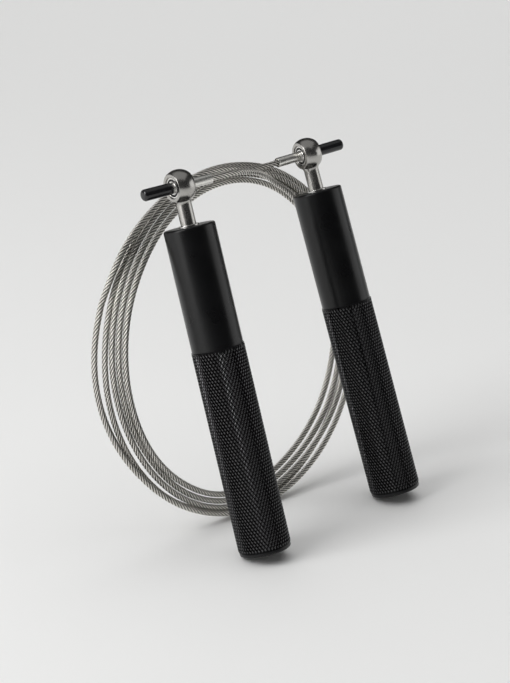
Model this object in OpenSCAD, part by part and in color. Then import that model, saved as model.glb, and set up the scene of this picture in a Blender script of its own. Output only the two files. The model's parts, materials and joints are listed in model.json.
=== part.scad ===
// Speed rope: two knurled metal handles, each with a ball-bearing swivel head,
// joined by one steel wire rope that is put away as a round coil of five turns.
// Millimetres. It stands on the two handle ends and on the edge of the coil, at z = 0.

/* [Handle] */
// Length of the barrel without its swivel head
handle_length = 128; // [124:0.5:130]
// Diameter of the smooth upper part
handle_diameter = 20; // [19:0.1:20.4]
// Diameter over the knurled grip
grip_diameter = 20.64; // [20.5:0.02:21.2]
// Length of the knurled grip, from the bottom end
grip_length = 81; // [60:0.5:95]
// Bore through the barrel, the outer diameter of its bearings
bore_diameter = 13; // [12.5:0.5:13]
// Radius of the round bottom rim
bottom_rim = 1.8; // [1:0.1:2.5]
// Radius of the top edge
top_rim = 0.8; // [0.3:0.1:1.2]
// Length of the plug that closes the bottom end
plug_length = 8; // [5:0.5:20]

/* [Swivel head] */
// Diameter of the ball
ball_diameter = 13; // [12.6:0.1:13.4]
// Distance between the two flats on the ball
flat_width = 7.4; // [7.2:0.1:8]
// Height of the ball's centre above the top of the barrel
ball_height = 15.3; // [14:0.1:17]
// Diameter of the stem between the barrel and the ball
stem_diameter = 6; // [5.6:0.1:6.2]
// Diameter of the shaft through the barrel's bearings
shaft_diameter = 5; // [4.6:0.1:5]
// Outer diameter of the small bearings in the ball
eye_bearing_diameter = 8; // [7.8:0.1:8.2]

/* [Cord] */
// Diameter of the wire rope
cord_diameter = 2.5; // [2:0.1:2.5]
// Outer diameter of the crimped ferrule
ferrule_diameter = 3.8; // [3.6:0.1:4.2]
// Distance from the ball's centre to the mouth of the ferrule
ferrule_reach = 14.4; // [12:0.1:16]
// Diameter of the round cap on the end of the cord
cap_diameter = 4.5; // [4.2:0.1:5]
// Distance from the ball's centre to the tip of the cap
cap_reach = 16.8; // [12:0.1:17.4]

/* [View] */
// Sub-part to draw, or all of them

/* [Hidden] */
$fn = 96;
fit = 0.02;
grip_r = grip_diameter / 2;
handle_r = handle_diameter / 2;
bore_r = bore_diameter / 2;
knurl_step = grip_r - handle_r;
lip = 2.2;
lip_z = handle_length - lip;
bush_r = 3.6;
flange_r = 4;
stem_r = stem_diameter / 2;
shaft_r = shaft_diameter / 2;
ball_r = ball_diameter / 2;
eye_z = handle_length + ball_height;

// handle bearings: two rows, a spacer between the inner rings, a circlip under the lower one
bearing_w = 4;
pitch_r = 4.5;
race_ball_r = 1.1;
upper_z = lip_z - bearing_w;
spacer_length = 15;
lower_z = upper_z - spacer_length - bearing_w;
clip_h = 1;
clip_z = lower_z - clip_h;
washer_h = 0.8;
nut_h = 5;
nut_flats = 8;
nut_z = lower_z - washer_h - nut_h;
shaft_z = nut_z - 1;

// eye bearings: one behind each flat of the ball, either side of a thin shoulder
eye_seat_r = eye_bearing_diameter / 2;
eye_w = 3;
eye_gap = 0.6;
eye_pitch_r = 3;
eye_ball_r = 0.5;
sleeve_r = 2;
sleeve_reach = 4;
cord_r = cord_diameter / 2;
cord_bore_r = cord_r + 0.05;

// where each handle stands: the middle of its foot, its two leans, and the turn of its head
foot_left = [-12.7, -40.4];
lean_left = [-11.2, -13.3];
roll_left = 38;
foot_right = [41.3, 16.5];
lean_right = [-11.0, -15.3];
roll_right = 32;

// the coil: middle, turn and tilt of its plane
coil_at = [-24.4, 16.6, 69.9];
coil_turn = [80.2, 0, 47.4];
coil_inner = 60.1;
coil_outer_rear = 69.8;
coil_outer_front = 71.6;
coil_rear = -6.4;
coil_front = 4.9;

// a leaning round foot touches the ground with its rim
function tilt(lean) = acos(cos(lean[0]) * cos(lean[1]));
function foot_z(lean) =
    bottom_rim + (grip_r - bottom_rim) * sin(tilt(lean)) - bottom_rim * cos(tilt(lean));
function turn_x(v, a) = [v[0], v[1] * cos(a) - v[2] * sin(a), v[1] * sin(a) + v[2] * cos(a)];
function turn_y(v, a) = [v[0] * cos(a) + v[2] * sin(a), v[1], v[2] * cos(a) - v[0] * sin(a)];
function turn_z(v, a) = [v[0] * cos(a) - v[1] * sin(a), v[0] * sin(a) + v[1] * cos(a), v[2]];
function placed(v, foot, lean, roll) =
    [foot[0], foot[1], foot_z(lean)] + turn_y(turn_x(turn_z(v, roll), lean[0]), lean[1]);
// a point on the eye's axis, at distance s from the ball's centre towards the ferrule
function eye_left(s) = placed([s, 0, eye_z], foot_left, lean_left, roll_left);
function eye_right(s) = placed([-s, 0, eye_z], foot_right, lean_right, roll_right);

// route of each end of the cord, from inside its cap to the coil
inside = [-15, -9, -3, 3, 9];
outside = [ferrule_reach, ferrule_reach + 6];
route_left = concat(
    [for (s = inside) eye_left(s)],
    [for (s = outside) eye_left(s)],
    [[-24, 5, 140.5], [-20, 12.5, 139], [-16, 21, 136.5], [-12.5, 29.5, 133]],
    [[-8.5, 38, 128], [-3.5, 46, 122.5], [1, 51.5, 116.5], [5.5, 56, 109.5]],
    [[9.5, 59, 101], [13, 61.5, 91], [15.5, 62.5, 80.5]]
);
route_right = concat(
    [for (s = inside) eye_right(s)],
    [for (s = outside) eye_right(s)],
    [[-18.5, 29, 136], [-24.5, 23.5, 137.5], [-30.5, 18.5, 138.5], [-37, 13.5, 138]],
    [[-43, 9, 136], [-49, 3.5, 133], [-54.5, -2.5, 129], [-59.5, -8.5, 124.5]],
    [[-64.5, -14, 118.5], [-69, -19, 110.5], [-73, -24.5, 98.5], [-75, -29, 87]],
    [[-74, -31.5, 75], [-72, -32, 62]]
);

// a smooth curve through the route's points, n pieces between each two
function curve(a, b, c, d, t) =
    0.5 * (2 * b + (c - a) * t + (2 * a - 5 * b + 4 * c - d) * t * t
    + (3 * b - a - 3 * c + d) * t * t * t);
function ends(p) = concat([2 * p[0] - p[1]], p, [2 * p[len(p) - 1] - p[len(p) - 2]]);
function smooth(p, n) =
    let (e = ends(p))
    concat(
        [for (i = [0:len(p) - 2], j = [0:n - 1]) curve(e[i], e[i + 1], e[i + 2], e[i + 3], j / n)],
        [p[len(p) - 1]]
    );
function unit(v) = v / norm(v);
function heading(p, i) = unit(p[min(i + 1, len(p) - 1)] - p[max(i - 1, 0)]);
// a side direction carried along the curve without twisting
function carried(p, side, i = 0) =
    i == len(p) ? [] :
    let (t = heading(p, i), s = unit(side - (side * t) * t))
    concat([s], carried(p, s, i + 1));

module tube(p, r, sides) {
    s = carried(p, [0, 0, 1]);
    n = len(p);
    points = [for (i = [0:n - 1], k = [0:sides - 1])
        let (a = k * 360 / sides, b = cross(heading(p, i), s[i]))
        p[i] + r * (cos(a) * s[i] + sin(a) * b)];
    walls = [for (i = [0:n - 2], k = [0:sides - 1], h = [0, 1])
        let (m = (k + 1) % sides, a = i * sides + k, b = i * sides + m)
        h == 0 ? [a, a + sides, b] : [b, a + sides, b + sides]];
    first = [[for (k = [0:sides - 1]) k]];
    last = [[for (k = [sides - 1:-1:0]) (n - 1) * sides + k]];
    polyhedron(points = points, faces = concat(walls, first, last));
}

module at_left() {
    translate([foot_left[0], foot_left[1], foot_z(lean_left)])
    rotate([lean_left[0], lean_left[1], 0])
    rotate([0, 0, roll_left])
    children();
}

module at_right() {
    translate([foot_right[0], foot_right[1], foot_z(lean_right)])
    rotate([lean_right[0], lean_right[1], 0])
    rotate([0, 0, roll_right + 180])
    children();
}

// the eye's axis laid along +Z, ferrule side up
module eye() {
    translate([0, 0, eye_z])
    rotate([0, 90, 0])
    children();
}

module barrel() {
    difference() {
        rotate_extrude() {
            square([grip_r - bottom_rim, bottom_rim]);
            translate([grip_r - bottom_rim, bottom_rim])
            circle(r = bottom_rim);
            translate([0, bottom_rim])
            square([grip_r, grip_length - bottom_rim - knurl_step]);
            polygon([[0, grip_length - knurl_step], [grip_r, grip_length - knurl_step],
                [handle_r, grip_length], [0, grip_length]]);
            translate([0, grip_length])
            square([handle_r, handle_length - grip_length - top_rim]);
            translate([0, handle_length - top_rim])
            square([handle_r - top_rim, top_rim]);
            translate([handle_r - top_rim, handle_length - top_rim])
            circle(r = top_rim);
        }
        translate([0, 0, -1])
        cylinder(r = bore_r, h = lip_z + 1);
        translate([0, 0, lip_z - 1])
        cylinder(r = bush_r + fit, h = lip + 2);
        translate([0, 0, clip_z - fit])
        cylinder(r = bore_r + 0.42, h = clip_h + 2 * fit);
    }
}

module plug() {
    rotate_extrude()
    polygon([[0, 0.4], [bore_r - 0.6, 0.4], [bore_r - fit, 0.9], [bore_r - fit, plug_length - 0.5],
        [bore_r - 0.5, plug_length], [0, plug_length]]);
}

module bush() {
    rotate_extrude()
    polygon([[stem_r + 0.05, lip_z + 0.1], [bush_r, lip_z + 0.1], [bush_r, handle_length],
        [flange_r, handle_length], [flange_r, handle_length + 0.45],
        [flange_r - 0.15, handle_length + 0.6], [stem_r + 0.05, handle_length + 0.6]]);
}

// outer ring of a ball bearing that starts at z = 0
module ring_outer(outer, land, pitch, ball, width) {
    rotate_extrude()
    difference() {
        translate([land, 0])
        square([outer - land, width]);
        translate([pitch, width / 2])
        circle(r = ball + 0.03);
    }
}

module ring_inner(bore, land, pitch, ball, width) {
    rotate_extrude()
    difference() {
        translate([bore, 0])
        square([land - bore, width]);
        translate([pitch, width / 2])
        circle(r = ball + 0.03);
    }
}

module ball_row(count, pitch, ball, width) {
    for (i = [0:count - 1])
        rotate([0, 0, i * 360 / count])
        translate([pitch, 0, width / 2])
        sphere(r = ball);
}

module handle_ring_outer() {
    ring_outer(bore_r - fit, 5.4, pitch_r, race_ball_r, bearing_w);
}

module handle_ring_inner() {
    ring_inner(shaft_r + fit, 3.6, pitch_r, race_ball_r, bearing_w);
}

module spacer() {
    difference() {
        cylinder(r = 3.5, h = spacer_length);
        translate([0, 0, -1])
        cylinder(r = shaft_r + fit, h = spacer_length + 2);
    }
}

module circlip() {
    difference() {
        cylinder(r = bore_r + 0.4, h = clip_h);
        translate([0, 0, -1])
        cylinder(r = bore_r - 1.3, h = clip_h + 2);
        translate([0, -1.6, -1])
        cube([10, 3.2, clip_h + 2]);
    }
}

module washer() {
    difference() {
        cylinder(r = 4.2, h = washer_h);
        translate([0, 0, -1])
        cylinder(r = shaft_r + fit, h = washer_h + 2);
    }
}

module nut() {
    difference() {
        cylinder(r = nut_flats / 2 / cos(30), h = nut_h, $fn = 6);
        translate([0, 0, -1])
        cylinder(r = shaft_r + fit, h = nut_h + 2);
    }
}

module head() {
    difference() {
        union() {
            intersection() {
                translate([0, 0, eye_z])
                sphere(r = ball_r);
                translate([0, 0, eye_z])
                cube([flat_width, ball_diameter + 1, ball_diameter + 1], center = true);
            }
            translate([0, 0, eye_z - ball_r - 0.4])
            cylinder(r1 = stem_r, r2 = stem_r + 0.6, h = 1.4);
            translate([0, 0, lip_z])
            cylinder(r = stem_r, h = ball_height + lip - ball_r + 0.8);
            translate([0, 0, shaft_z])
            cylinder(r = shaft_r, h = lip_z - shaft_z + 1);
        }
        eye()
        translate([0, 0, eye_gap / 2])
        cylinder(r = eye_seat_r, h = flat_width);
        eye()
        translate([0, 0, -flat_width - eye_gap / 2])
        cylinder(r = eye_seat_r, h = flat_width);
        eye()
        translate([0, 0, -1])
        cylinder(r = 3.3, h = 2);
    }
}

// outer ring of an eye bearing with the thin shield in its outer face
module eye_ring_outer() {
    ring_outer(eye_seat_r - fit, 3.35, eye_pitch_r, eye_ball_r, eye_w);
    difference() {
        translate([0, 0, eye_w - 0.35])
        cylinder(r = 3.4, h = 0.25);
        translate([0, 0, eye_w - 1])
        cylinder(r = 2.8, h = 2);
    }
}

module eye_ring_inner() {
    ring_inner(sleeve_r + fit, 2.65, eye_pitch_r, eye_ball_r, eye_w);
}

module both_eye_seats() {
    eye()
    translate([0, 0, eye_gap / 2])
    children();
    eye()
    rotate([180, 0, 0])
    translate([0, 0, eye_gap / 2])
    children();
}

module sleeve() {
    eye()
    difference() {
        translate([0, 0, -sleeve_reach])
        cylinder(r = sleeve_r, h = 2 * sleeve_reach);
        translate([0, 0, -sleeve_reach - 1])
        cylinder(r = cord_bore_r, h = 2 * sleeve_reach + 2);
    }
}

module crimp() {
    r = ferrule_diameter / 2;
    eye()
    rotate_extrude()
    polygon([[cord_bore_r, sleeve_reach + fit], [r - 0.2, sleeve_reach + fit],
        [r, sleeve_reach + 0.25], [r, ferrule_reach - 0.3], [r - 0.25, ferrule_reach],
        [cord_bore_r + 0.25, ferrule_reach], [cord_bore_r, ferrule_reach - 0.5]]);
}

module cap() {
    r = cap_diameter / 2;
    tip = r / 2 - 0.05;
    eye()
    rotate([180, 0, 0])
    difference() {
        rotate_extrude() {
            translate([0, sleeve_reach + fit])
            square([r, cap_reach - sleeve_reach - fit - tip]);
            translate([0, cap_reach - tip - 0.1])
            square([r - tip, tip + 0.1]);
            translate([r - tip, cap_reach - tip])
            circle(r = tip);
        }
        cylinder(r = cord_bore_r, h = 15.1);
    }
}

module handle_barrel_left() { color("dimgray") at_left() barrel(); }
module handle_barrel_right() { color("dimgray") at_right() barrel(); }
module end_plug_left() { color("black") at_left() plug(); }
module end_plug_right() { color("black") at_right() plug(); }
module top_bush_left() { color("silver") at_left() bush(); }
module top_bush_right() { color("silver") at_right() bush(); }

module upper_bearing_outer_left() {
    color("lightsteelblue") at_left() translate([0, 0, upper_z]) handle_ring_outer();
}
module upper_bearing_outer_right() {
    color("lightsteelblue") at_right() translate([0, 0, upper_z]) handle_ring_outer();
}
module upper_bearing_inner_left() {
    color("slategray") at_left() translate([0, 0, upper_z]) handle_ring_inner();
}
module upper_bearing_inner_right() {
    color("slategray") at_right() translate([0, 0, upper_z]) handle_ring_inner();
}
module upper_bearing_balls_left() {
    color("gold") at_left() translate([0, 0, upper_z]) ball_row(8, pitch_r, race_ball_r, bearing_w);
}
module upper_bearing_balls_right() {
    color("gold") at_right() translate([0, 0, upper_z]) ball_row(8, pitch_r, race_ball_r, bearing_w);
}
module lower_bearing_outer_left() {
    color("lightsteelblue") at_left() translate([0, 0, lower_z]) handle_ring_outer();
}
module lower_bearing_outer_right() {
    color("lightsteelblue") at_right() translate([0, 0, lower_z]) handle_ring_outer();
}
module lower_bearing_inner_left() {
    color("slategray") at_left() translate([0, 0, lower_z]) handle_ring_inner();
}
module lower_bearing_inner_right() {
    color("slategray") at_right() translate([0, 0, lower_z]) handle_ring_inner();
}
module lower_bearing_balls_left() {
    color("gold") at_left() translate([0, 0, lower_z]) ball_row(8, pitch_r, race_ball_r, bearing_w);
}
module lower_bearing_balls_right() {
    color("gold") at_right() translate([0, 0, lower_z]) ball_row(8, pitch_r, race_ball_r, bearing_w);
}

module bearing_spacer_left() { color("tan") at_left() translate([0, 0, lower_z + bearing_w]) spacer(); }
module bearing_spacer_right() { color("tan") at_right() translate([0, 0, lower_z + bearing_w]) spacer(); }
module bearing_circlip_left() { color("darkslategray") at_left() translate([0, 0, clip_z]) circlip(); }
module bearing_circlip_right() { color("darkslategray") at_right() translate([0, 0, clip_z]) circlip(); }
module shaft_washer_left() { color("silver") at_left() translate([0, 0, nut_z + nut_h]) washer(); }
module shaft_washer_right() { color("silver") at_right() translate([0, 0, nut_z + nut_h]) washer(); }
module lock_nut_left() { color("goldenrod") at_left() translate([0, 0, nut_z]) nut(); }
module lock_nut_right() { color("goldenrod") at_right() translate([0, 0, nut_z]) nut(); }

module swivel_head_left() { color("gainsboro") at_left() head(); }
module swivel_head_right() { color("gainsboro") at_right() head(); }
module eye_bearing_outers_left() { color("steelblue") at_left() both_eye_seats() eye_ring_outer(); }
module eye_bearing_outers_right() { color("steelblue") at_right() both_eye_seats() eye_ring_outer(); }
module eye_bearing_inners_left() { color("slategray") at_left() both_eye_seats() eye_ring_inner(); }
module eye_bearing_inners_right() { color("slategray") at_right() both_eye_seats() eye_ring_inner(); }
module eye_bearing_balls_left() {
    color("gold") at_left() both_eye_seats() ball_row(9, eye_pitch_r, eye_ball_r, eye_w);
}
module eye_bearing_balls_right() {
    color("gold") at_right() both_eye_seats() ball_row(9, eye_pitch_r, eye_ball_r, eye_w);
}
module eye_sleeve_left() { color("rosybrown") at_left() sleeve(); }
module eye_sleeve_right() { color("rosybrown") at_right() sleeve(); }
module ferrule_left() { color("darkgray") at_left() crimp(); }
module ferrule_right() { color("darkgray") at_right() crimp(); }
module end_cap_left() { color("black") at_left() cap(); }
module end_cap_right() { color("black") at_right() cap(); }

module cord_coil() {
    color("gray")
    translate(coil_at)
    rotate(coil_turn)
    rotate_extrude()
    polygon([[coil_inner, coil_rear], [coil_outer_rear, coil_rear],
        [coil_outer_front, coil_front], [coil_inner, coil_front]]);
}

module cord_lead_left() { color("olive") tube(smooth(route_left, 2), cord_r, 8); }
module cord_lead_right() { color("olive") tube(smooth(route_right, 2), cord_r, 8); }

handle_barrel_left();
handle_barrel_right();
end_plug_left();
end_plug_right();
top_bush_left();
top_bush_right();
upper_bearing_outer_left();
upper_bearing_outer_right();
upper_bearing_inner_left();
upper_bearing_inner_right();
upper_bearing_balls_left();
upper_bearing_balls_right();
lower_bearing_outer_left();
lower_bearing_outer_right();
lower_bearing_inner_left();
lower_bearing_inner_right();
lower_bearing_balls_left();
lower_bearing_balls_right();
bearing_spacer_left();
bearing_spacer_right();
bearing_circlip_left();
bearing_circlip_right();
shaft_washer_left();
shaft_washer_right();
lock_nut_left();
lock_nut_right();
swivel_head_left();
swivel_head_right();
eye_bearing_outers_left();
eye_bearing_outers_right();
eye_bearing_inners_left();
eye_bearing_inners_right();
eye_bearing_balls_left();
eye_bearing_balls_right();
eye_sleeve_left();
eye_sleeve_right();
ferrule_left();
ferrule_right();
end_cap_left();
end_cap_right();
cord_coil();
cord_lead_left();
cord_lead_right();
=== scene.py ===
"""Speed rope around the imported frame: camera, rope, handles, swivel heads, materials, light."""
import json
from math import acos, asin, cos, degrees, pi, radians, sin, sqrt, tan

import bmesh
import bpy
import numpy as np
from mathutils import Matrix, Vector


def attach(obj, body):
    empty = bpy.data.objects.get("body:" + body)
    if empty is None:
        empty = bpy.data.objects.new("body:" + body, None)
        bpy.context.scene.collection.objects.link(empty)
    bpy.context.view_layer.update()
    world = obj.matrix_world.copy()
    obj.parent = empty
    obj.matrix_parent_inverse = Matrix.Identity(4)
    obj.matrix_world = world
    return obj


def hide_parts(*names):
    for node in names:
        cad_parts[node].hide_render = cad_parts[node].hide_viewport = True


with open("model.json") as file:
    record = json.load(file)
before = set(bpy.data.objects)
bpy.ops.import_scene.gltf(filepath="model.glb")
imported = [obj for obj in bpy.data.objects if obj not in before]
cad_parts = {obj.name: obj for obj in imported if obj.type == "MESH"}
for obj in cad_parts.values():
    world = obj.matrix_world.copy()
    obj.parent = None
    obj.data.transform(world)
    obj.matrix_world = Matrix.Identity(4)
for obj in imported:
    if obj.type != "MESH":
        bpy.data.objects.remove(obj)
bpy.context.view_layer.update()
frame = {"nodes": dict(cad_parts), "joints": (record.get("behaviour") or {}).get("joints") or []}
MM = 0.001
SIDES = ("left", "right")
scene = bpy.context.scene

# ---------------------------------------------------------------- camera
# the place is in metres, the downward look in degrees, the lens and the sensor in mm
CAMERA_AT = (-0.0168, -0.6910, 0.3116)
LOOKS_DOWN = 19
LENS, SENSOR = 98.2, 36

camera_data = bpy.data.cameras.new("camera")
camera_data.sensor_width = SENSOR
camera_data.lens = LENS
camera = bpy.data.objects.new("camera", camera_data)
camera.location = CAMERA_AT
camera.rotation_euler = (radians(90 - LOOKS_DOWN), 0, 0)
scene.collection.objects.link(camera)
scene.camera = camera

# ---------------------------------------------------------------- sizes, in mm, as in the CAD
# Heights are up the handle's own axis from its foot. A reach is along the eye's axis from the
# ball's centre. HALF_FLAT is from the ball's centre to one of its two flats.
HANDLE_LENGTH = 128.0
HANDLE_R = 10.0
GRIP_R = 10.32
GRIP_LENGTH = 81.0
BORE_R = 6.5
LIP_Z = 125.8
LIP_BORE_R = 3.64
EYE_Z = 143.3
BALL_R = 6.5
HALF_FLAT = 3.7
STEM_R = 3.0
SHAFT_R = 2.5
SHAFT_FOOT_Z = 96.0
SEAT_R = 4.0
SLEEVE_R = 1.98
SLEEVE_REACH = 4.0
FITTING_START = 4.04
FERRULE_R = 1.9
FERRULE_REACH = 14.4
CAP_R = 2.25
CAP_REACH = 16.8
CORD_R = 1.25
CORD_BORE_R = 1.3


def joint(name):
    for j in frame["joints"]:
        if j["name"] == name:
            return j
    raise KeyError(name)


def handle_frame(side):
    """The handle's own frame: origin under its foot, +Z up the stem, +X to the ferrule's side."""
    eye = joint("eye_" + side)
    way = -1 if side == "left" else 1
    x = Vector(eye["axis"]).normalized() * way
    z = Vector(joint("spin_" + side)["axis"]).normalized()
    x = (x - z * x.dot(z)).normalized()
    y = z.cross(x)
    origin = Vector(eye["pos_m"]) - z * (EYE_Z * MM)
    m = Matrix((x, y, z)).transposed().to_4x4()
    m.translation = origin
    return m


HANDLES = {side: handle_frame(side) for side in SIDES}


def eye_point(side, s):
    """A point on the eye's axis, s mm from the ball's centre towards the ferrule."""
    return np.array(HANDLES[side] @ Vector((s * MM, 0, EYE_Z * MM))) / MM


# ---------------------------------------------------------------- mesh helpers
def link(name, mesh, materials, where=None):
    for m in materials:
        mesh.materials.append(m)
    obj = bpy.data.objects.new(name, mesh)
    scene.collection.objects.link(obj)
    if where is not None:
        obj.matrix_world = where
    bpy.context.view_layer.update()
    return obj


def finish_mesh(mesh, sharp=35):
    """Smooth shading with a crease wherever two faces meet at more than that angle."""
    mesh.polygons.foreach_set("use_smooth", [True] * len(mesh.polygons))
    bm = bmesh.new()
    bm.from_mesh(mesh)
    for e in bm.edges:
        e.smooth = e.calc_face_angle(0.0) < radians(sharp)
    bm.to_mesh(mesh)
    bm.free()


def rounded(corners, steps=5):
    """A closed outline with its corners rounded. A corner is (r, z) or (r, z, radius)."""
    out = []
    n = len(corners)
    for i, c in enumerate(corners):
        p = np.array(c[:2], float)
        radius = c[2] if len(c) > 2 else 0
        if radius <= 0:
            out.append(tuple(p))
            continue
        a = np.array(corners[i - 1][:2], float) - p
        b = np.array(corners[(i + 1) % n][:2], float) - p
        la, lb = np.linalg.norm(a), np.linalg.norm(b)
        a, b = a / la, b / lb
        half = acos(max(-1, min(1, float(a @ b)))) / 2
        back = min(radius / tan(half), 0.49 * la, 0.49 * lb)
        radius = back * tan(half)
        centre = p + (a + b) / np.linalg.norm(a + b) * radius / sin(half)
        start, end = p + a * back - centre, p + b * back - centre
        turn = acos(max(-1, min(1, float(start @ end) / radius ** 2)))
        for k in range(steps + 1):
            t = k / steps
            q = (start * sin((1 - t) * turn) + end * sin(t * turn)) / sin(turn)
            out.append(tuple(centre + q))
    return out


def turned(outline, segments=96):
    """A closed solid turned about +Z. The outline runs anticlockwise in (r, z), in mm."""
    verts, faces, rings = [], [], []
    for r, z in outline:
        if r < 1e-6:
            rings.append([len(verts)] * segments)
            verts.append((0, 0, z))
            continue
        first = len(verts)
        rings.append([first + k for k in range(segments)])
        for k in range(segments):
            a = 2 * pi * k / segments
            verts.append((r * cos(a), r * sin(a), z))
    n = len(rings)
    for i in range(n):
        lower, upper = rings[i], rings[(i + 1) % n]
        if lower[0] == lower[1] and upper[0] == upper[1]:
            continue
        for k in range(segments):
            m = (k + 1) % segments
            loop = [lower[k], lower[m], upper[m], upper[k]]
            face = [v for j, v in enumerate(loop) if v != loop[j - 1]]
            faces.append(face)
    return verts, faces


def join(parts):
    """Several (verts, faces) as one, with a material number for each part."""
    verts, faces, mats = [], [], []
    for part in parts:
        base = len(verts)
        verts += part[0]
        faces += [[base + v for v in f] for f in part[1]]
        mats += [part[2] if len(part) > 2 else 0] * len(part[1])
    return verts, faces, mats


def to_eye(part):
    """From a solid about +Z to one about the eye's axis, with +Z turned to +X."""
    moved = [(z, y, EYE_Z - x) for x, y, z in part[0]]
    return (moved,) + tuple(part[1:])


def solid(name, part, materials, side, sharp=35):
    """An object from a part in mm, placed in the frame of that side's handle."""
    mesh = bpy.data.meshes.new(name)
    verts, faces = part[0], part[1]
    mesh.from_pydata([(x * MM, y * MM, z * MM) for x, y, z in verts], [], faces)
    if len(part) > 2:
        mesh.polygons.foreach_set("material_index", part[2])
    finish_mesh(mesh, sharp)
    return link(name, mesh, materials, HANDLES[side])


# ---------------------------------------------------------------- materials
# Noise scales are per metre, and a bump's distance is in metres.
def new_material(name, **values):
    m = bpy.data.materials.new(name)
    m.use_nodes = True
    shader = m.node_tree.nodes["Principled BSDF"]
    for key, value in values.items():
        shader.inputs[key.replace("_", " ")].default_value = value
    return m, m.node_tree, shader


def add(tree, kind, **values):
    node = tree.nodes.new(kind)
    for key, value in values.items():
        if hasattr(node, key):
            setattr(node, key, value)
        else:
            node.inputs[key.replace("_", " ")].default_value = value
    return node


def place(tree, scale=(1, 1, 1), source="Object"):
    """The object's own coordinates, or its UVs, stretched by scale."""
    coords = add(tree, "ShaderNodeTexCoord")
    mapping = add(tree, "ShaderNodeMapping", Scale=scale)
    tree.links.new(coords.outputs[source], mapping.inputs["Vector"])
    return mapping.outputs["Vector"]


def noise(tree, vector, scale, detail=3.0, rough=0.5):
    node = add(tree, "ShaderNodeTexNoise", Scale=scale, Detail=detail, Roughness=rough)
    tree.links.new(vector, node.inputs["Vector"])
    return node.outputs["Fac"]


def ramp(tree, value, low, high, start=0.3, end=0.7):
    """A grey value or a colour that goes from low to high as value goes from start to end."""
    node = add(tree, "ShaderNodeValToRGB")
    for stop, where, colour in zip(node.color_ramp.elements, (start, end), (low, high)):
        stop.position = where
        stop.color = (colour, colour, colour, 1) if isinstance(colour, float) else (*colour, 1)
    tree.links.new(value, node.inputs["Fac"])
    return node.outputs["Color"]


def bump(tree, shader, height, distance, strength):
    node = add(tree, "ShaderNodeBump", Strength=strength, Distance=distance)
    tree.links.new(height, node.inputs["Height"])
    tree.links.new(node.outputs["Normal"], shader.inputs["Normal"])


def uneven_roughness(tree, shader, value, low, high):
    """Roughness that wanders between low and high with the value, such as a noise."""
    tree.links.new(ramp(tree, value, low, high), shader.inputs["Roughness"])


def anodised(name, rough_low, rough_high):
    """Satin black anodised metal: a fine blasted grain and slightly uneven sheen."""
    m, tree, shader = new_material(
        name, Base_Color=(0.0025, 0.0026, 0.003, 1), Metallic=0.0, Specular_IOR_Level=0.34
    )
    where = place(tree)
    uneven_roughness(tree, shader, noise(tree, where, 90, 2), rough_low, rough_high)
    grain = noise(tree, where, 5200, 2, 0.6)
    bump(tree, shader, grain, 0.00001, 0.5)
    return m


def knurled():
    """Blackened metal, brighter on the crests of the knurl: partly wear, partly a painted
    highlight that makes the glints; the valleys are darker as painted shade.
    """
    m, tree, shader = new_material("knurled black", Metallic=1.0)
    # the crest mask makes the crests more reflective, as wear plus painted highlight, and keeps
    # the valleys dark as painted shade
    wear_and_glint_mask = add(tree, "ShaderNodeAttribute", attribute_name="crest")
    valley, rubbed_and_glint = (0.01, 0.01, 0.0105), (0.1, 0.1, 0.102)
    colour = ramp(tree, wear_and_glint_mask.outputs["Fac"], valley, rubbed_and_glint, 0.4, 1.0)
    tree.links.new(colour, shader.inputs["Base Color"])
    uneven_roughness(tree, shader, noise(tree, place(tree), 260, 3), 0.15, 0.21)
    return m


def polished():
    """Polished steel with the faint smudges of handling."""
    m, tree, shader = new_material(
        "polished steel", Base_Color=(0.45, 0.44, 0.42, 1), Metallic=1.0
    )
    where = place(tree)
    uneven_roughness(tree, shader, noise(tree, where, 150, 4), 0.2, 0.3)
    ripple = noise(tree, where, 420, 2)
    bump(tree, shader, ripple, 0.000015, 0.35)
    return m


def turned_steel(name, colour, rough_low, rough_high, axis):
    """Turned metal with fine rings about the lathe's axis, which is 0, 1 or 2 for X, Y or Z."""
    m, tree, shader = new_material(name, Base_Color=(*colour, 1), Metallic=1.0)
    scale = [60, 60, 60]
    scale[axis] = 9000
    lines = noise(tree, place(tree, scale), 1.0, 2)
    uneven_roughness(tree, shader, lines, rough_low, rough_high)
    bump(tree, shader, lines, 0.00002, 0.5)
    return m


def glossy_black():
    m, tree, shader = new_material(
        "glossy black cap", Base_Color=(0.008, 0.008, 0.009, 1), Specular_IOR_Level=0.6
    )
    where = place(tree)
    uneven_roughness(tree, shader, noise(tree, where, 320, 3), 0.12, 0.24)
    bump(tree, shader, noise(tree, where, 900, 2), 0.00002, 0.3)
    return m


def moulded_black():
    m, tree, shader = new_material("moulded black", Base_Color=(0.02, 0.02, 0.021, 1))
    where = place(tree)
    uneven_roughness(tree, shader, noise(tree, where, 400, 3), 0.45, 0.6)
    bump(tree, shader, noise(tree, where, 3500, 2), 0.00003, 0.5)
    return m


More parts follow.
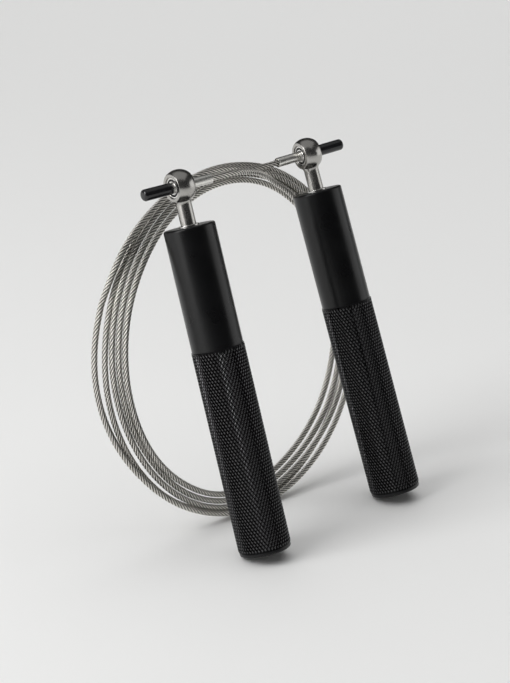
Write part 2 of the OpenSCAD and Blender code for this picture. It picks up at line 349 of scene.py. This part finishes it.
def rope_steel():
    """Steel wire rope: bright wires, with painted shade darkening the valleys between the strands,
    and patches of uneven tone.
    """
    m, tree, shader = new_material("wire rope", Metallic=0.9)
    depth = add(tree, "ShaderNodeAttribute", attribute_name="lobe")
    where = place(tree)
    patches = noise(tree, where, 45, 3)
    # the lobe attribute paints the valleys between the strands nearly black as painted shade; the
    # patches are uneven tone
    valley_shade, wire = (0.012, 0.011, 0.009), (0.97, 0.94, 0.88)
    bright = ramp(tree, depth.outputs["Fac"], valley_shade, wire, 0.2, 0.95)
    dulled = add(tree, "ShaderNodeMix", data_type="RGBA", blend_type="MULTIPLY")
    dulled.inputs["Factor"].default_value = 1.0
    tree.links.new(bright, dulled.inputs[6])
    tree.links.new(ramp(tree, patches, 0.78, 1.0), dulled.inputs[7])
    tree.links.new(dulled.outputs[2], shader.inputs["Base Color"])
    uneven_roughness(tree, shader, patches, 0.27, 0.37)
    wires = add(tree, "ShaderNodeTexWave", Scale=1.0, Distortion=0.0)
    wires.bands_direction = "Y"
    tree.links.new(place(tree, source="UV"), wires.inputs["Vector"])
    bump(tree, shader, wires.outputs["Fac"], 0.00004, 0.35)
    return m


X_AXIS, Z_AXIS = 0, 2
BLACK = anodised("satin black anodised", 0.26, 0.34)
KNURL = knurled()
POLISHED = polished()
BUSH = turned_steel("turned steel bush", (0.66, 0.65, 0.63), 0.12, 0.3, Z_AXIS)
FERRULE = turned_steel("satin ferrule", (0.85, 0.84, 0.8), 0.24, 0.4, X_AXIS)
SLEEVE = turned_steel("turned sleeve", (0.72, 0.71, 0.69), 0.2, 0.36, X_AXIS)
RACE = turned_steel("ground bearing ring", (0.78, 0.77, 0.75), 0.18, 0.3, X_AXIS)
SHIELD = turned_steel("bearing shield", (0.035, 0.035, 0.035), 0.3, 0.45, X_AXIS)
CAP = glossy_black()
PLUG = moulded_black()
ROPE = rope_steel()

# ---------------------------------------------------------------- the rope
# The route's points are those of the CAD's leads, in metres, from each ferrule's mouth to the
# coil. INSIDE holds places on the eye's axis, in mm, from inside the cap to just past the mouth.
INSIDE = (-15, -9, -3, 3, 9, FERRULE_REACH, FERRULE_REACH + 6)
ROUTE_LEFT = [
    (-0.024, 0.005, 0.1405), (-0.02, 0.0125, 0.139), (-0.016, 0.021, 0.1365),
    (-0.0125, 0.0295, 0.133), (-0.0085, 0.038, 0.128), (-0.0035, 0.046, 0.1225),
    (0.001, 0.0515, 0.1165), (0.0055, 0.056, 0.1095),
]
ROUTE_RIGHT = [
    (-0.0185, 0.029, 0.136), (-0.0245, 0.0235, 0.1375), (-0.0305, 0.0185, 0.1385),
    (-0.037, 0.0135, 0.138), (-0.043, 0.009, 0.136), (-0.049, 0.0035, 0.133),
    (-0.0545, -0.0025, 0.129), (-0.0595, -0.0085, 0.1245), (-0.0645, -0.014, 0.1185),
    (-0.069, -0.019, 0.1105),
]
# The coil's own frame: its middle, turned about the upright, then leaned back.
COIL_FRAME = (
    Matrix.Translation((-24.4, 16.6, 69.9))
    @ Matrix.Rotation(radians(47.4), 4, "Z")
    @ Matrix.Rotation(radians(80.2), 4, "X")
)
COIL_R = 65.2
TURN_COUNT = 5
# The rope joins the coil at FIRST and leaves it at LAST, in degrees along the turns.
FIRST, LAST = 70, 1735
COIL_POINTS = 334
# The angle that the places of the turns are smoothed over, and how far past the turns the
# tables of those places go on, both in degrees.
SMOOTHED_OVER = 6
SPARE = 30
# How the ribbon of turns is tilted at the coil's top, right, bottom and left, in degrees.
RIBBON_TILT = (-8, 48, 24, -41)
# The turns lie loosely side by side as a ribbon. Each row has an angle, clockwise from the top,
# then how far outward each of the turns lies in the ribbon there, in their order along the rope,
# then how far each lies towards the ribbon's front face, in mm.
TURNS = [
    (0, (0.3, -3.3, -1.2, 0.8, 2.8), (4, 0.7, -0.7, 0.7, -0.8)),
    (15, (0.5, -2.2, -0.1, 1.8, 3.6), (4, 0.8, -0.9, 0.9, -1.0)),
    (30, (0.7, -1.3, 1.7, 3.6, 5.3), (3.6, 0.4, -0.9, 0.9, -1.1)),
    (60, (-1.0, -1.0, 1.7, 4.2, 6.7), (2.9, 0.1, -0.4, 0, 0)),
    (80, (-2.5, -0.6, 2.0, 4.0, 6.0), (2.6, 0, 0.3, -1.6, 0.2)),
    (105, (-3.6, -0.6, 2.1, 2.2, 5.1), (1.0, 0, 0.2, -2.3, 0.2)),
    (130, (-4.0, -0.7, 2.3, 1.4, 5.1), (0, 0, 0.2, -2.3, 0)),
    (150, (-4.5, -1.5, 1.4, 1.7, 5.0), (0, 0, 0.4, -2.2, 0)),
    (165, (-4.2, -1.4, 1.2, 2.9, 5.0), (0, 0, 0.3, -1.7, 0.3)),
    (200, (-1.5, 1.1, 3.7, 4.7, 5.9), (0, 0, 0, -2.3, 0.6)),
    (218, (-1.8, 1.0, 3.5, 6.3, 6.4), (0, -0.6, 0.2, -2.4, 0.3)),
    (235, (-1.7, -0.3, 2.7, 6.0, 6.9), (0.6, -1.8, 0.3, -2.0, 0.6)),
    (250, (-2.4, -0.2, 2.1, 5.7, 8.3), (0.4, -1.0, 0.3, -0.3, 0.4)),
    (265, (-3.1, -0.6, 1.9, 5.0, 8.9), (0.2, -0.4, 0.2, 0, 0)),
    (280, (-3.7, -1.2, 1.3, 3.8, 7.9), (0, 0, 0, -0.2, 0)),
    (310, (-4.6, -2.1, 0.4, 2.3, 4.6), (0, 0, 0.1, -1.7, 0)),
    (330, (-4.4, -1.9, 0.6, 2.2, 3.0), (0, 0, 0.2, -1.8, 0.6)),
    (345, (-4.1, -1.7, 0.6, 2.1, 3.0), (0.4, -0.4, 0.4, -1.6, 0.8)),
]


def round_the_coil(angle, top, right, bottom, left):
    """A value that passes smoothly through the four given ones round the coil."""
    return (
        (top + right + bottom + left) / 4
        + (top - bottom) / 2 * cos(angle)
        + (right - left) / 2 * sin(angle)
        + (top + bottom - right - left) / 4 * cos(2 * angle)
    )


def turn_tables():
    """Outward and forward places of the rope for each degree along the turns."""
    stops = [360 * k + row[0] for k in range(TURN_COUNT) for row in TURNS]
    degree = np.arange(-SPARE, 360 * TURN_COUNT + SPARE + 1)
    reach = 4 * SMOOTHED_OVER
    kernel = np.exp(-0.5 * (np.arange(-reach, reach + 1) / SMOOTHED_OVER) ** 2)
    kernel /= kernel.sum()
    tables = []
    for column in (1, 2):
        values = [row[column][k] for k in range(TURN_COUNT) for row in TURNS]
        tables.append(np.convolve(np.interp(degree, stops, values), kernel, "same"))
    return degree, tables[0], tables[1]


TURN_DEGREE, TURN_OUT, TURN_FORWARD = turn_tables()


def coil_point(degree):
    """A point of the coil, at degrees clockwise from its top as the camera sees it."""
    out = np.interp(degree, TURN_DEGREE, TURN_OUT)
    forward = np.interp(degree, TURN_DEGREE, TURN_FORWARD)
    angle = radians(degree)
    tilt = radians(round_the_coil(angle, *RIBBON_TILT))
    radius = COIL_R + out * cos(tilt) - forward * sin(tilt)
    depth = out * sin(tilt) + forward * cos(tilt)
    return tuple(COIL_FRAME @ Vector((radius * sin(angle), radius * cos(angle), depth)))


def rope_route():
    """All the rope's points in mm, from inside the left cap to inside the right one."""
    points = [eye_point("left", s) for s in INSIDE]
    points += [np.array(p) / MM for p in ROUTE_LEFT]
    points += [coil_point(d) for d in np.linspace(FIRST, LAST, COIL_POINTS)]
    points += [np.array(p) / MM for p in ROUTE_RIGHT[::-1]]
    points += [eye_point("right", s) for s in INSIDE[::-1]]
    return np.array([tuple(p) for p in points], float)


def smooth_curve(points, spacing):
    """A curve through the points, with its own points about that far apart."""
    ends = np.vstack([2 * points[0] - points[1], points, 2 * points[-1] - points[-2]])
    out = []
    for i in range(len(points) - 1):
        a, b, c, d = ends[i:i + 4]
        n = max(2, round(np.linalg.norm(c - b) / spacing))
        for t in np.arange(n) / n:
            out.append(0.5 * (2 * b + (c - a) * t + (2 * a - 5 * b + 4 * c - d) * t ** 2
                              + (3 * b - a - 3 * c + d) * t ** 3))
    out.append(points[-1])
    return np.array(out)


def carried_frames(path):
    """Tangents and two side directions carried along the path without twisting."""
    t = np.gradient(path, axis=0)
    t /= np.linalg.norm(t, axis=1)[:, None]
    n = np.empty_like(t)
    side = np.cross(t[0], (0, 0, 1.0))
    for i, direction in enumerate(t):
        side = side - direction * (side @ direction)
        side /= np.linalg.norm(side)
        n[i] = side
    return t, n, np.cross(t, n)


# STRANDS lie round a core, each with PER_STRAND points across it and WIRES marked on it. A strand
# goes once round the rope in a length of LAY, and in that length the WIRES_BACK part of its wires
# passes across it. STRAND_VALLEY_R is the rope's radius in the valley between two strands.
STRANDS = 6
PER_STRAND = 6
WIRES = 9
LAY = 11.0
WIRES_BACK = 0.55
STRAND_VALLEY_R = 0.93
PATH_STEP = 1.1


def make_rope():
    """The whole wire rope as one mesh, with its path and its length in metres."""
    path = smooth_curve(rope_route(), PATH_STEP)
    length = np.concatenate([[0], np.cumsum(np.linalg.norm(np.diff(path, axis=0), axis=1))])
    t, n, b = carried_frames(path)
    around = STRANDS * PER_STRAND
    strand_r = CORD_R / 3
    centre_r = CORD_R - strand_r
    k = np.arange(around)
    off = ((k % PER_STRAND) / PER_STRAND - 0.5) * 2 * pi / STRANDS
    reach = centre_r * np.cos(off) + np.sqrt(
        np.maximum(strand_r ** 2 - (centre_r * np.sin(off)) ** 2, 0)
    )
    reach = np.maximum(reach, STRAND_VALLEY_R)
    lobe = (reach - reach.min()) / (reach.max() - reach.min())
    angle = 2 * pi * k / around
    twist = 2 * pi * length / LAY
    a = angle[None, :] + twist[:, None]
    verts = path[:, None, :] + reach[None, :, None] * (
        np.cos(a)[:, :, None] * n[:, None, :] + np.sin(a)[:, :, None] * b[:, None, :]
    )
    rows = len(path)
    verts = verts.reshape(-1, 3) * MM
    i = np.arange(rows - 1)[:, None] * around
    j, m = k[None, :], (k[None, :] + 1) % around
    quads = np.stack([i + j, i + m, i + around + m, i + around + j], -1).reshape(-1, 4)
    faces = quads.tolist()
    faces.append(list(range(around))[::-1])
    faces.append(list(range((rows - 1) * around, rows * around)))
    mesh = bpy.data.meshes.new("wire_rope")
    mesh.from_pydata(verts.tolist(), [], faces)
    mesh.polygons.foreach_set("use_smooth", [True] * len(mesh.polygons))
    # lobe runs from 0 in the valleys to 1 on the strands' crowns; the rope's material uses it to
    # paint the valleys dark as painted shade
    colour = mesh.attributes.new("lobe", "FLOAT", "POINT")
    colour.data.foreach_set("value", np.tile(lobe, rows))
    # the wires of each strand run nearly along the rope, so v turns back as the strand advances
    uv = mesh.uv_layers.new(name="UVMap")
    u0, u1 = length[:-1, None], length[1:, None]
    wires = WIRES / PER_STRAND
    v, w = k[None, :] * wires, (k[None, :] + 1) * wires
    back = WIRES * WIRES_BACK / LAY
    corner = np.empty((rows - 1, around, 4, 2))
    for index, (along, across) in enumerate(((u0, v), (u0, w), (u1, w), (u1, v))):
        corner[:, :, index, 0] = along
        corner[:, :, index, 1] = across - back * along
    data = np.zeros((len(mesh.loops), 2))
    data[: corner.size // 2] = corner.reshape(-1, 2)
    uv.data.foreach_set("uv", data.ravel())
    mesh.validate()
    # a crease along the valley between two strands
    sharp = mesh.attributes.new("sharp_edge", "BOOLEAN", "EDGE")
    edges = np.empty(len(mesh.edges) * 2, int)
    mesh.edges.foreach_get("vertices", edges)
    edges = edges.reshape(-1, 2)
    sharp.data.foreach_set("value", np.all(edges % around % PER_STRAND == 0, axis=1))
    obj = link("wire_rope", mesh, [ROPE])
    return obj, path * MM, float(length[-1]) * MM


rope, rope_path, rope_length = make_rope()

# ---------------------------------------------------------------- swivel heads
def arc(radius, start, end, steps):
    """Points of a circle about the origin, with the angles in degrees from the equator."""
    out = []
    for k in range(steps + 1):
        a = radians(start + (end - start) * k / steps)
        out.append((radius * cos(a), radius * sin(a)))
    return out


def bent(start, middle, end, steps=8):
    """Points of a curve from start to end that is drawn towards middle."""
    out = []
    for k in range(steps + 1):
        t = k / steps
        out.append(tuple((1 - t) ** 2 * a + 2 * t * (1 - t) * b + t * t * c
                         for a, b, c in zip(start, middle, end)))
    return out


# each bearing's seat ends this far from the ball's middle, at a wall with a hole in it
SEAT_FLOOR = 0.3
SEAT_HOLE_R = 3.3
# where the stem flares out into the ball
FLARE_Z, FLARE_END_Z, FLARE_R = 136.3, 137.9, 3.6


def head(side):
    """The ball with its two flats and bearing seats, and its stem and shaft."""
    edge = degrees(asin(HALF_FLAT / BALL_R))
    rim = sqrt(BALL_R ** 2 - HALF_FLAT ** 2)
    ball = arc(BALL_R, -edge + 1.5, edge - 1.5, 32)
    seat = SEAT_R + 0.02
    front = rounded([
        ball[-1], (rim - 0.02, HALF_FLAT, 0.22), (SEAT_R + 0.1, HALF_FLAT, 0.16),
        (seat, HALF_FLAT - 0.3), (seat, SEAT_FLOOR), (SEAT_HOLE_R, SEAT_FLOOR),
    ])[1:]
    outline = ball + front + flipped(front)
    stem = [
        (0, SHAFT_FOOT_Z), (SHAFT_R - 0.2, SHAFT_FOOT_Z), (SHAFT_R, SHAFT_FOOT_Z + 0.3),
        (SHAFT_R, LIP_Z), (STEM_R, LIP_Z), (STEM_R, FLARE_Z - 0.3),
    ]
    stem += bent((STEM_R, FLARE_Z), (STEM_R, 137.5), (FLARE_R, FLARE_END_Z))
    stem += [(FLARE_R - 0.3, 138.4), (0, 139)]
    part = join([to_eye(turned(outline, 112)), turned(stem, 72)])
    obj = solid("swivel_head_piece_" + side, part, [POLISHED], side, 30)
    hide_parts("swivel_head_" + side)
    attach(obj, "head_" + side)


def ring(inner, outer, start, end, edge):
    """A ring's outline between two radii and two heights, with its edges rounded."""
    return rounded([(outer, start, edge), (outer, end, edge), (inner, end, edge),
                    (inner, start, edge)], 3)


def flipped(outline):
    """The outline's mirror image below, still anticlockwise."""
    return [(r, -z) for r, z in outline[::-1]]


BEARING_NEAR, BEARING_FAR = 0.3, 3.3
OUTER_RING_BORE_R = 3.35
INNER_RING_R = 2.65


def eye_bearings(side):
    """The rings of the ball's two small bearings, with a black shield in each outer ring."""
    outer = ring(OUTER_RING_BORE_R, SEAT_R - 0.02, BEARING_NEAR, BEARING_FAR, 0.14)
    shield = rounded([
        (3.36, 2.98), (3.36, 3.1, 0.05), (3.2, 3.1, 0.05), (3.12, 3.16, 0.03),
        (2.86, 3.16, 0.05), (2.86, 3.0),
    ], 2)
    inner = ring(SLEEVE_R + 0.04, INNER_RING_R, BEARING_NEAR, BEARING_FAR, 0.12)
    part = join([(*to_eye(turned(o, 80)), 0) for o in (outer, flipped(outer))]
                + [(*to_eye(turned(o, 80)), 1) for o in (shield, flipped(shield))])
    rings = solid("eye_bearing_rings_" + side, part, [RACE, SHIELD], side)
    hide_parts("eye_bearing_outers_" + side)
    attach(rings, "head_" + side)
    part = join([to_eye(turned(o, 64)) for o in (inner, flipped(inner))])
    inners = solid("eye_bearing_inner_rings_" + side, part, [RACE], side)
    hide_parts("eye_bearing_inners_" + side)
    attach(inners, "cord")


def cord_fittings(side):
    """The sleeve, ferrule and cap on one end of the rope."""
    sleeve = ring(CORD_BORE_R, SLEEVE_R, -SLEEVE_REACH, SLEEVE_REACH, 0.18)
    piece = solid("eye_sleeve_piece_" + side, to_eye(turned(sleeve, 64)), [SLEEVE], side)
    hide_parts("eye_sleeve_" + side)
    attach(piece, "cord")
    # the ferrule's mouth is opened out into a thin-walled cup round the rope
    mouth = FERRULE_REACH
    outline = rounded([
        (FERRULE_R - 0.02, FITTING_START, 0.25), (FERRULE_R, mouth - 0.75, 0.3),
        (FERRULE_R - 0.08, mouth - 0.62, 0.2), (FERRULE_R, mouth - 0.5, 0.2),
        (FERRULE_R, mouth, 0.09), (FERRULE_R - 0.2, mouth, 0.08),
        (FERRULE_R - 0.28, mouth - 1.4, 0.2), (CORD_BORE_R, mouth - 1.7),
        (CORD_BORE_R, FITTING_START),
    ], 4)
    crimp = solid("ferrule_piece_" + side, to_eye(turned(outline, 72)), [FERRULE], side)
    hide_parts("ferrule_" + side)
    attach(crimp, "cord")
    tip = CAP_REACH
    outline = rounded([
        (CORD_BORE_R, FITTING_START), (CAP_R - 0.06, FITTING_START, 0.18), (CAP_R, 5.2, 2.0),
        (CAP_R, tip - 0.12, 1.55), (0.0, tip), (0.0, tip - 1.6), (CORD_BORE_R, tip - 1.7),
    ], 8)
    cap = solid("end_cap_piece_" + side, to_eye(turned(flipped(outline), 72)), [CAP], side)
    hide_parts("end_cap_" + side)
    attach(cap, "cord")
    return [piece, crimp, cap]


# ---------------------------------------------------------------- handles
# DIAMONDS stand side by side round the grip, in ROWS half-steps between its two ends. Each has a
# flat top, which reaches CREST of the way from its middle to its corners.
DIAMONDS = 50
ROWS = 64
KNURL_LOW, KNURL_HIGH = 1.5, 80.85
CREST_R, VALLEY_R, END_R = GRIP_R, 10.07, 10.04
CREST = 0.3


def knurl_band(low_ring, high_ring, verts, faces, mats, crest):
    """Diamond points between two rings of 2 x DIAMONDS vertices, added to the lists."""
    around = 2 * DIAMONDS
    step = 2 * pi / around
    rise = (KNURL_HIGH - KNURL_LOW) / ROWS

    def point(i, k, r):
        verts.append((r * cos(i * step), r * sin(i * step), KNURL_LOW + k * rise))
        # 1 on the diamonds' flat tops, which the knurl's material paints brighter (partly wear,
        # partly painted highlight); 0 in the valleys, painted dark as shade
        crest.append(1.0 if r == CREST_R else 0.0)
        return len(verts) - 1

    grid = {}
    for k in range(ROWS + 1):
        for i in range(around):
            if k == 0:
                grid[i, k] = low_ring[i]
            elif k == ROWS:
                grid[i, k] = high_ring[i]
            elif (i + k) % 2 == 0:
                grid[i, k] = point(i, k, VALLEY_R)

    def at(i, k):
        return grid[i % around, k]

    for k in range(1, ROWS):
        for i in range(around):
            if (i + k) % 2 == 0:
                continue
            corners = [at(i - 1, k), at(i, k - 1), at(i + 1, k), at(i, k + 1)]
            tops = [point(i + dx * CREST, k + dz * CREST, CREST_R)
                    for dx, dz in ((-1, 0), (0, -1), (1, 0), (0, 1))]
            for a in range(4):
                b = (a + 1) % 4
                faces.append([corners[a], corners[b], tops[b], tops[a]])
            faces.append(tops)
            mats += [1] * 5
    # half diamonds along the two ends
    for i in range(around):
        if i % 2 == 1:
            faces.append([at(i - 1, 0), at(i, 0), at(i, 1)])
            faces.append([at(i, 0), at(i + 1, 0), at(i, 1)])
            mats += [1, 1]
        if (i + ROWS) % 2 == 1:
            faces.append([at(i, ROWS), at(i - 1, ROWS), at(i, ROWS - 1)])
            faces.append([at(i + 1, ROWS), at(i, ROWS), at(i, ROWS - 1)])
            mats += [1, 1]


def barrel(side):
    """The handle's tube with its knurled grip."""
    rim = rounded([
        (BORE_R, 0.0, 0.25), (END_R, 0.0, 1.4), (END_R, KNURL_LOW),
        (GRIP_R - 0.05, KNURL_HIGH), (HANDLE_R, GRIP_LENGTH),
        (HANDLE_R, HANDLE_LENGTH, 0.75), (LIP_BORE_R, HANDLE_LENGTH, 0.15),
        (LIP_BORE_R, LIP_Z), (BORE_R, LIP_Z),
    ], 10)
    segments = 2 * DIAMONDS
    verts, rings = [], []
    for r, z in rim:
        rings.append(list(range(len(verts), len(verts) + segments)))
        verts += [(r * cos(2 * pi * k / segments), r * sin(2 * pi * k / segments), z)
                  for k in range(segments)]
    crest = [0.0] * len(verts)
    faces, mats = [], []
    n = len(rings)
    for i in range(n):
        lower, upper = rings[i], rings[(i + 1) % n]
        if rim[i] == (END_R, KNURL_LOW):
            knurl_band(lower, upper, verts, faces, mats, crest)
            continue
        for k in range(segments):
            m = (k + 1) % segments
            faces.append([lower[k], lower[m], upper[m], upper[k]])
            mats.append(0)
    obj = solid("handle_piece_" + side, (verts, faces, mats), [BLACK, KNURL], side, 18)
    # the crest layer drives the knurl's painted highlight on the crests and painted shade in the
    # valleys
    layer = obj.data.attributes.new("crest", "FLOAT", "POINT")
    layer.data.foreach_set("value", crest)
    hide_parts("handle_barrel_" + side)
    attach(obj, "handle_" + side)


def plug_and_bush(side):
    """The plug in the barrel's foot, and the flanged bush round the stem."""
    plug_r = BORE_R - 0.02
    plug = rounded([
        (0, 0.9), (1.3, 0.9, 0.1), (1.5, 0.4, 0.1), (5.7, 0.4, 0.25), (plug_r, 0.95, 0.1),
        (plug_r, 7.5, 0.1), (6, 8), (0, 8),
    ], 4)
    piece = solid("end_plug_piece_" + side, turned(plug, 72), [PLUG], side)
    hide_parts("end_plug_" + side)
    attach(piece, "handle_" + side)
    bush_bore_r, bush_r, flange_r = STEM_R + 0.05, LIP_BORE_R - 0.04, 4.0
    bush_foot_z, flange_z, flange_top_z = LIP_Z + 0.1, HANDLE_LENGTH, HANDLE_LENGTH + 0.6
    bush = rounded([
        (bush_bore_r, bush_foot_z), (bush_r, bush_foot_z), (bush_r, flange_z),
        (flange_r, flange_z), (flange_r, flange_top_z, 0.22), (bush_bore_r, flange_top_z, 0.12),
    ], 5)
    piece = solid("top_bush_piece_" + side, turned(bush, 72), [BUSH], side)
    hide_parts("top_bush_" + side)
    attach(piece, "handle_" + side)


fittings = []
for side in SIDES:
    head(side)
    eye_bearings(side)
    fittings += cord_fittings(side)
    barrel(side)
    plug_and_bush(side)

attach(rope, "cord")
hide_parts("cord_coil", "cord_lead_left", "cord_lead_right")

# ---------------------------------------------------------------- the CAD's inner pieces
ZINC = turned_steel("zinc plated", (0.55, 0.54, 0.5), 0.25, 0.4, Z_AXIS)
RING_STEEL = turned_steel("bearing steel", (0.6, 0.6, 0.6), 0.1, 0.22, Z_AXIS)
ALLOY = turned_steel("turned alloy", (0.75, 0.75, 0.76), 0.25, 0.42, Z_AXIS)
BLUED = turned_steel("blackened spring steel", (0.05, 0.05, 0.06), 0.25, 0.4, Z_AXIS)
INNER = {
    "upper_bearing_outer": RING_STEEL, "upper_bearing_inner": RING_STEEL,
    "lower_bearing_outer": RING_STEEL, "lower_bearing_inner": RING_STEEL,
    "upper_bearing_balls": POLISHED, "lower_bearing_balls": POLISHED,
    "eye_bearing_balls": POLISHED, "bearing_spacer": ALLOY, "bearing_circlip": BLUED,
    "shaft_washer": ZINC, "lock_nut": ZINC,
}
for name, material in INNER.items():
    for side in SIDES:
        node = frame["nodes"][name + "_" + side]
        for slot in node.material_slots:
            slot.material = material

# ---------------------------------------------------------------- floor and light
FLOOR_HALF = 6.0
# just under the handles' feet, so that the two surfaces don't fight
FLOOR_Z = -0.00003


def stage_floor():
    half, z = FLOOR_HALF, FLOOR_Z
    mesh = bpy.data.meshes.new("floor")
    mesh.from_pydata([(-half, -half, z), (half, -half, z), (half, half, z), (-half, half, z)],
                     [], [(0, 1, 2, 3)])
    pale = new_material("floor", Base_Color=(0.82, 0.82, 0.812, 1), Roughness=0.8)[0]
    link("floor", mesh, [pale])


def softbox(name, place_at, aim, size, power, mirrored=True):
    """A rectangular light. One that isn't mirrored lights the scene but shows in no reflection."""
    data = bpy.data.lights.new(name, "AREA")
    data.shape = "RECTANGLE"
    data.size, data.size_y = size
    data.energy = power
    obj = bpy.data.objects.new(name, data)
    obj.location = place_at
    obj.rotation_euler = (Vector(aim) - Vector(place_at)).to_track_quat("-Z", "Y").to_euler()
    obj.visible_glossy = mirrored
    scene.collection.objects.link(obj)


def room_light(power, spread, turn):
    """A very wide light from above that shows in no reflection, like a bright room's walls."""
    data = bpy.data.lights.new("room", "SUN")
    data.energy = power
    data.angle = radians(spread)
    obj = bpy.data.objects.new("room", data)
    obj.rotation_euler = [radians(a) for a in turn]
    obj.visible_glossy = False
    scene.collection.objects.link(obj)


def dim_world(strength):
    world = bpy.data.worlds.new("studio")
    world.use_nodes = True
    background = world.node_tree.nodes["Background"]
    background.inputs["Color"].default_value = (1, 1, 1, 1)
    background.inputs["Strength"].default_value = strength
    scene.world = world


stage_floor()
softbox("key", (-1.05, -0.65, 0.95), (0, 0.05, 0.03), (0.9, 0.8), 12)
softbox("left card", (-0.98, -0.6, 0.3), (0, 0, 0.1), (0.6, 0.6), 1.3)
softbox("left lamp", (-0.93, -0.545, 0.3), (0, 0, 0.1), (0.22, 0.22), 0.9)
softbox("right card", (1.12, 0.2, 0.35), (0, 0, 0.1), (0.9, 0.6), 1.9)
softbox("ceiling", (0.0, 0.3, 2.3), (0, 0.31, 0.0), (3.0, 3.0), 9)
softbox("back wash", (0.1, 1.7, 1.3), (0.1, 1.71, 0.0), (2.6, 1.0), 8, False)
room_light(1.4, 110, (-12, -14, 0))
dim_world(0.04)
scene.view_settings.view_transform = "Standard"
